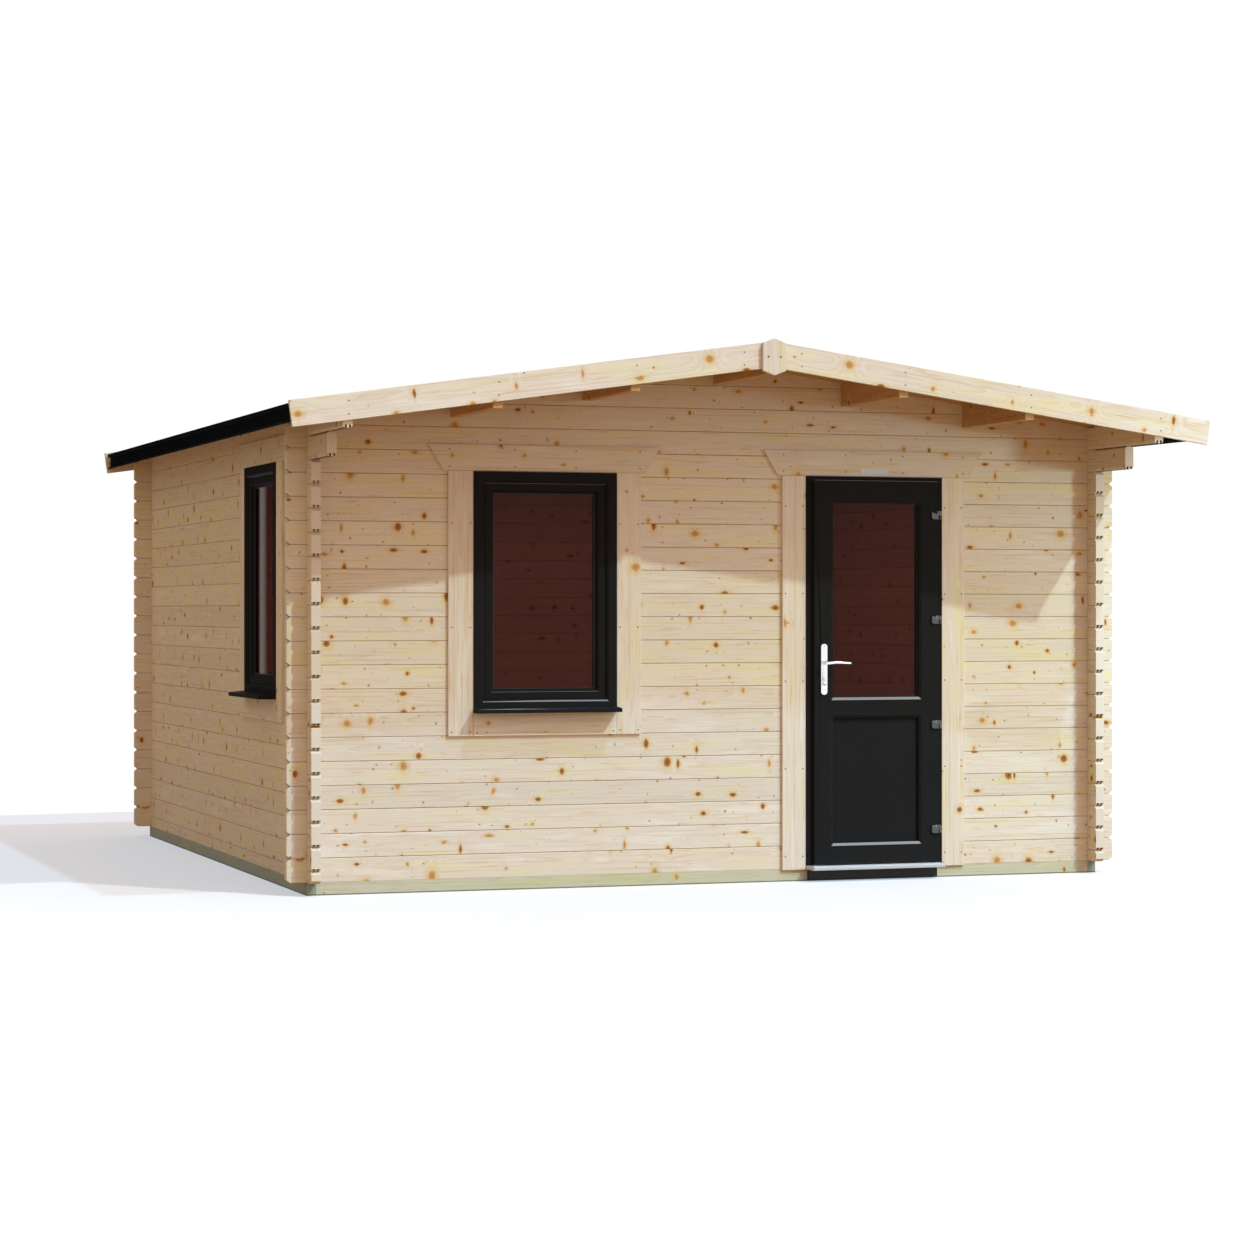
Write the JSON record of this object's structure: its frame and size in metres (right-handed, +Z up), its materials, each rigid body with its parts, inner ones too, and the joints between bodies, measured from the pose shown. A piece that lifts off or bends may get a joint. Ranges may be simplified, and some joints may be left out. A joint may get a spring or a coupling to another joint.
{
  "type": "log cabin",
  "caption": "Square garden log cabin with interlocked log corners, a low gable roof with a deep front overhang, a glazed hinged door and fixed windows.",
  "frame": {"origin": "middle of the walls' plan on the underside of the middle floor bearer, at ground level", "axes": "+X to the right along the front wall, +Y from the front wall with the door to the back wall, +Z up"},
  "size_m": [4.486, 4.876, 2.5363],
  "materials": {
    "log_pine": "planed, untreated",
    "board_pine": "planed, untreated",
    "trim_pine": "planed, untreated",
    "treated_pine": "pressure treated",
    "roof_membrane": "matt black sheet",
    "eaves_black": "matt black",
    "frame_anthracite": "fine grain foil",
    "glazing": "clear sealed units",
    "threshold_metal": "mill finish",
    "door_furniture": "bright"
  },
  "bodies": {
    "cabin": {"base_front": "treated_pine", "base_back": "treated_pine", "base_left": "treated_pine", "base_right": "treated_pine", "floor_bearers": "treated_pine", "floor_boards": "board_pine", "front_wall_left": "log_pine", "front_wall_right": "log_pine", "front_gable": "log_pine", "back_wall": "log_pine", "left_wall": "log_pine", "right_wall": "log_pine", "ridge_purlin": "board_pine", "purlins": "board_pine", "roof_boards_left": "board_pine", "roof_boards_right": "board_pine", "roof_covering": "roof_membrane", "eaves_trim_left": "eaves_black", "eaves_trim_right": "eaves_black", "bargeboard_front_left": "trim_pine", "bargeboard_front_right": "trim_pine", "bargeboard_back_left": "trim_pine", "bargeboard_back_right": "trim_pine", "finial_front": "trim_pine", "finial_back": "trim_pine", "front_window_frame": "frame_anthracite", "front_window_sash": "frame_anthracite", "front_window_glass": "glazing", "front_window_sill": "frame_anthracite", "front_window_trim": "trim_pine", "side_window_frame": "frame_anthracite", "side_window_sash": "frame_anthracite", "side_window_glass": "glazing", "side_window_sill": "frame_anthracite", "side_window_trim": "trim_pine", "door_frame": "frame_anthracite", "door_threshold": "threshold_metal", "door_trim": "trim_pine", "hinge_brackets": "door_furniture"},
    "door": {"door_leaf": "frame_anthracite", "door_glass": "glazing", "door_panel": "frame_anthracite", "hinge_flags": "door_furniture", "handle_plates": "door_furniture"},
    "lever": {"door_levers": "door_furniture"}
  },
  "joints": [
    {"name": "door_hinge", "type": "hinge", "parent": "cabin", "child": "door", "pos_m": [1.1365, -2.046, 1], "axis": [0, 0, 1], "range_deg": [0, 100]},
    {"name": "lever_turn", "type": "hinge", "parent": "door", "child": "lever", "pos_m": [0.5255, -2.007, 1.048], "axis": [0, 1, 0], "range_deg": [0, 40], "stiffness_Nm_per_rad": 1.5, "springref_deg": -28.65}
  ]
}
